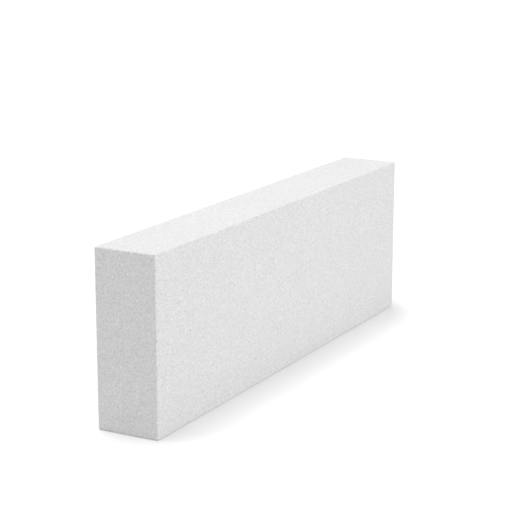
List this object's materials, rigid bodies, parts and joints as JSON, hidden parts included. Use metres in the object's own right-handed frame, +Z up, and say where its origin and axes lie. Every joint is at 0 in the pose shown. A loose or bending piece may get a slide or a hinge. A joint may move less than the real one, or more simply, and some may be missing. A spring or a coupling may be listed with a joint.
{
  "type": "aerated concrete block",
  "caption": "Solid rectangular block of autoclaved aerated concrete with plain flat faces and slightly eased edges, for thin partition walls and linings.",
  "frame": {"origin": "middle of the bottom bed face, on the surface that the block stands on", "axes": "+X along the length, +Y through the thickness, +Z up from bed face to bed face"},
  "size_m": [0.6, 0.075, 0.2],
  "materials": {
    "aerated_concrete": "matte"
  },
  "bodies": {
    "root": {"block": "aerated_concrete"}
  },
  "joints": []
}
